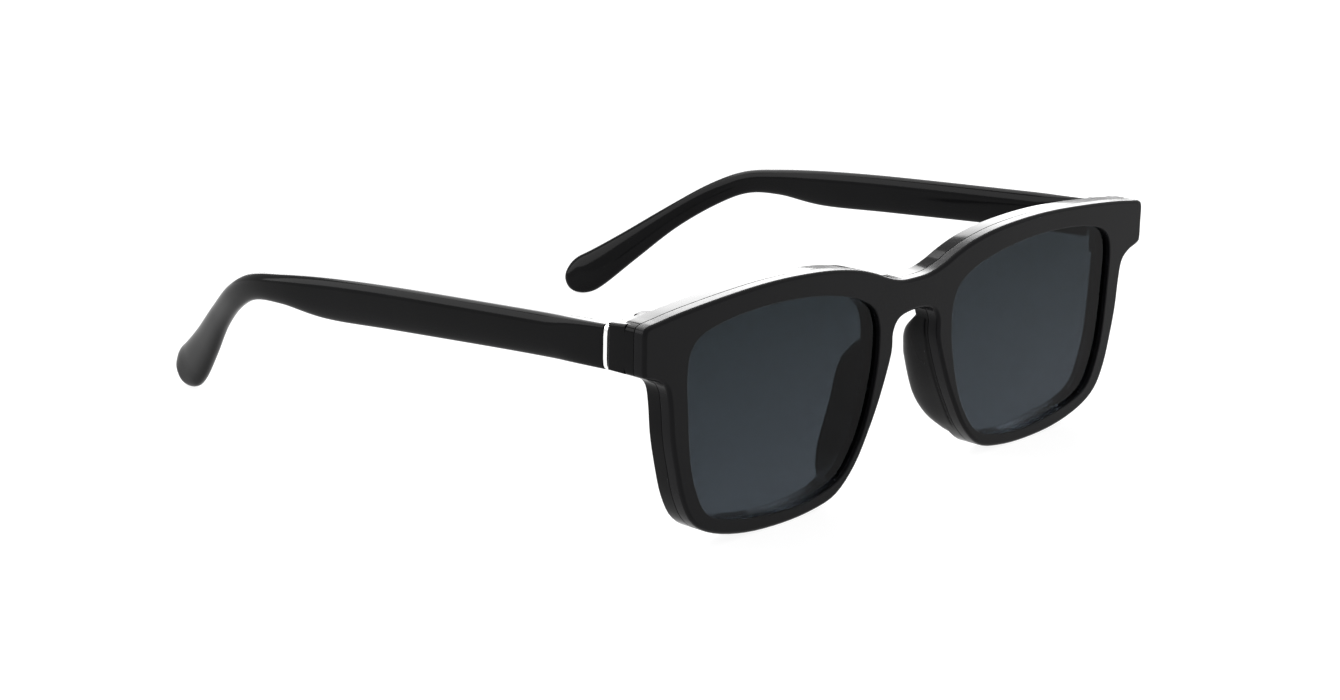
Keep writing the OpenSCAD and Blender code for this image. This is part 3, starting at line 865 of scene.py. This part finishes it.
# %% Polished and satin black
def polished_black():
    """The plastic of the spectacles."""
    finish = new_finish("polished_black")
    smudge, wave = finish.noise(90, 4), finish.noise(260, 2)
    tone = finish.blend(smudge, (0.003, 0.003, 0.0032, 1), (0.005, 0.005, 0.0055, 1))
    return finish.surface(
        base_color=tone,
        roughness=0.06 + smudge * 0.08,
        specular_ior_level=0.06,
        normal=finish.bump(wave, 0.006 * mm),
    )


def satin_black():
    """The plastic of the clip."""
    finish = new_finish("satin_black")
    cloud, grain = finish.noise(70, 3), finish.noise(9000, 2)
    tone = finish.blend(cloud, (0.004, 0.004, 0.0045, 1), (0.008, 0.008, 0.009, 1))
    return finish.surface(
        base_color=tone,
        roughness=0.2 + cloud * 0.1,
        specular_ior_level=0.08,
        normal=finish.bump(grain, 0.0008 * mm),
    )

# %% [markdown]
# ## Lenses
# A clear lens lets nearly all light through. A dark one takes most of it, and what is left is a cool
# blue-grey. The tint is stronger towards the top, as on many sun lenses. Both are made with real
# transmission, so that the pads and the temples show through them, and not by painting a dark face.

# %% Clear and tinted lens
def clear_glass():
    """The material of the spectacle lenses."""
    finish = new_finish("clear_lens")
    smear = finish.noise(60, 3)
    return finish.surface(
        base_color=finish.blend(smear, (0.96, 0.975, 0.97, 1), (0.98, 0.985, 0.985, 1)),
        roughness=smear * 0.02,
        transmission_weight=1,
        ior=1.3,
    )


def tinted_glass():
    """The material of the sun lenses, whose tint fades over their height."""
    finish = new_finish("tinted_lens")
    fade_height = 40 * mm
    place = finish.add("ShaderNodeTexCoord").outputs["Object"]
    height = Value(finish.tree, finish.add("ShaderNodeSeparateXYZ", vector=place).outputs["Z"])
    upward = height * (1 / fade_height) + finish.noise(50, 2) * 0.1
    return finish.surface(
        base_color=finish.blend(upward, (0.043, 0.052, 0.063, 1), (0.016, 0.0215, 0.026, 1)),
        roughness=0.01 + finish.noise(80, 3) * 0.02,
        transmission_weight=1,
        ior=1.14,
    )

# %% [markdown]
# ## Metals
# The end plates are polished, so they mirror the white studio. The hinges are brushed: their noise is
# stretched along the part, which leaves fine lines. The magnets are plated and slightly cloudy.

# %% Bright plate, brushed hinge, plated magnet and drawn wire
def metal(name, colour, rough, scale, stretch, depth):
    """A metal with fine lines or clouds in it, a little darker and rougher in places."""
    finish = new_finish(name)
    lines = finish.noise(scale, 3, stretch)
    dimmed = 0.85
    darker = tuple(c * dimmed for c in colour[:3]) + (1,)
    return finish.surface(
        base_color=finish.blend(lines, darker, colour),
        metallic=1,
        roughness=rough + lines * rough,
        normal=finish.bump(lines, depth),
    )


finishes = {
    "frame_plastic": polished_black(),
    "clip_plastic": satin_black(),
    "clear_lens": clear_glass(),
    "dark_lens": tinted_glass(),
    "end_plate": metal("bright_plate", (0.93, 0.93, 0.92, 1), 0.06, 1500, (1, 1, 0.1), 0.0003 * mm),
    "hinge_metal": metal("brushed_hinge", (0.62, 0.61, 0.58, 1), 0.18, 4000, (1, 1, 0.05), 0.002 * mm),
    "core_wire": metal("drawn_wire", (0.55, 0.55, 0.54, 1), 0.25, 3000, (1, 0.02, 1), 0.002 * mm),
    "magnet": metal("plated_magnet", (0.72, 0.72, 0.73, 1), 0.12, 700, (1, 1, 1), 0.001 * mm),
}
slots = {part["node"]: part["material_slot"] for part in frame["record"]["subparts"]}
for name, node in frame["nodes"].items():
    dress(node, finishes[slots[name]])
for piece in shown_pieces():
    if "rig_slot" in piece:
        dress(piece, finishes[piece["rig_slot"]])
print("finishes:", ", ".join(finishes))

# %% [markdown]
# ## Studio
# The pair stands on a pale floor in a white studio. Seen directly, in a mirror or through glass, the
# floor and the sky are white. What lights the pair is kept lower than that, because a white background
# made with more light would bleach the object too. The floor keeps a little of its own shading, and
# with it the shadow of the pair.

# %% World and floor
sky_light, floor_size, floor_glow, glow_share = 0.55, 12, 1.25, 0.72
white = (1, 1, 1, 1)


def seen(finish):
    """1 where a ray comes from the camera, a mirror or glass, and 0 where it only carries light."""
    path = finish.add("ShaderNodeLightPath")
    camera_ray, glossy_ray, glass_ray = (
        Value(finish.tree, path.outputs[f"Is {kind} Ray"]) for kind in ("Camera", "Glossy", "Transmission")
    )
    return camera_ray.larger(glossy_ray).larger(glass_ray)


world = bpy.data.worlds.new("studio")
bpy.context.scene.world = world
sky = Finish(world)
background = sky.add(
    "ShaderNodeBackground", color=white, strength=sky_light + seen(sky) * (1 - sky_light)
)
sky.add("ShaderNodeOutputWorld", surface=background.outputs[0])

bpy.ops.mesh.primitive_plane_add(size=floor_size, location=(0, 0, 0))
floor = bpy.context.object
floor.name = "floor"
paper = new_finish("pale_floor")
matt = paper.add("ShaderNodeBsdfDiffuse", color=(0.82, 0.82, 0.82, 1))
glow = paper.add("ShaderNodeEmission", color=white, strength=floor_glow)
mixed = paper.add("ShaderNodeMixShader", fac=seen(paper) * glow_share)
paper.tree.links.new(matt.outputs[0], mixed.inputs[1])
paper.tree.links.new(glow.outputs[0], mixed.inputs[2])
paper.add("ShaderNodeOutputMaterial", surface=mixed.outputs[0])
dress(floor, paper.owner)
print("floor", floor_size, "m wide, sky as bright as", sky_light, "of white")

# %% [markdown]
# ## Lamps
# Black plastic shows little but its reflections, so the lamps are placed for what they draw. A weak
# lamp overhead fills the front. Three panels stand behind the pair, because polished plastic seen at a
# low angle mirrors what is behind it: the rear panel and the wide one on the wearer's left draw the
# bright line along the upper edges of the rims, and the one at the right draws the paler strip along
# the crowns of the temples. Stronger lamps in front would only make the black grey.

# %% Softboxes
def softbox(name, place, aim, width, height, brightness):
    """A rectangular lamp. Its brightness is that of its face, where 1 is as bright as white paper."""
    data = bpy.data.lights.new(name, "AREA")
    data.shape = "RECTANGLE"
    data.size, data.size_y = width, height
    data.energy = brightness * math.pi * width * height
    lamp = bpy.data.objects.new(name, data)
    bpy.context.scene.collection.objects.link(lamp)
    turn = (Vector(aim) - Vector(place)).to_track_quat("-Z", "Y")
    lamp.matrix_world = Matrix.Translation(place) @ turn.to_matrix().to_4x4()
    print(name, round(data.energy, 2), "W")


pair_middle = (0, 0, 0.03)
softbox("overhead", (0.2, -0.1, 0.9), (0, 0, 0), 0.6, 0.5, 0.6)
softbox("rear", (0.0, 0.6, 0.65), pair_middle, 0.9, 0.34, 6.5)
softbox("behind", (0.75, 0.75, 0.42), pair_middle, 1.1, 0.5, 8.5)
softbox("left_rear", (-0.8, 0.75, 0.4), pair_middle, 0.7, 0.5, 4)

# %% [markdown]
# ## Last settings
# The Standard view shows colours as they are written, which suits a product on white.

bpy.context.scene.view_settings.view_transform = "Standard"
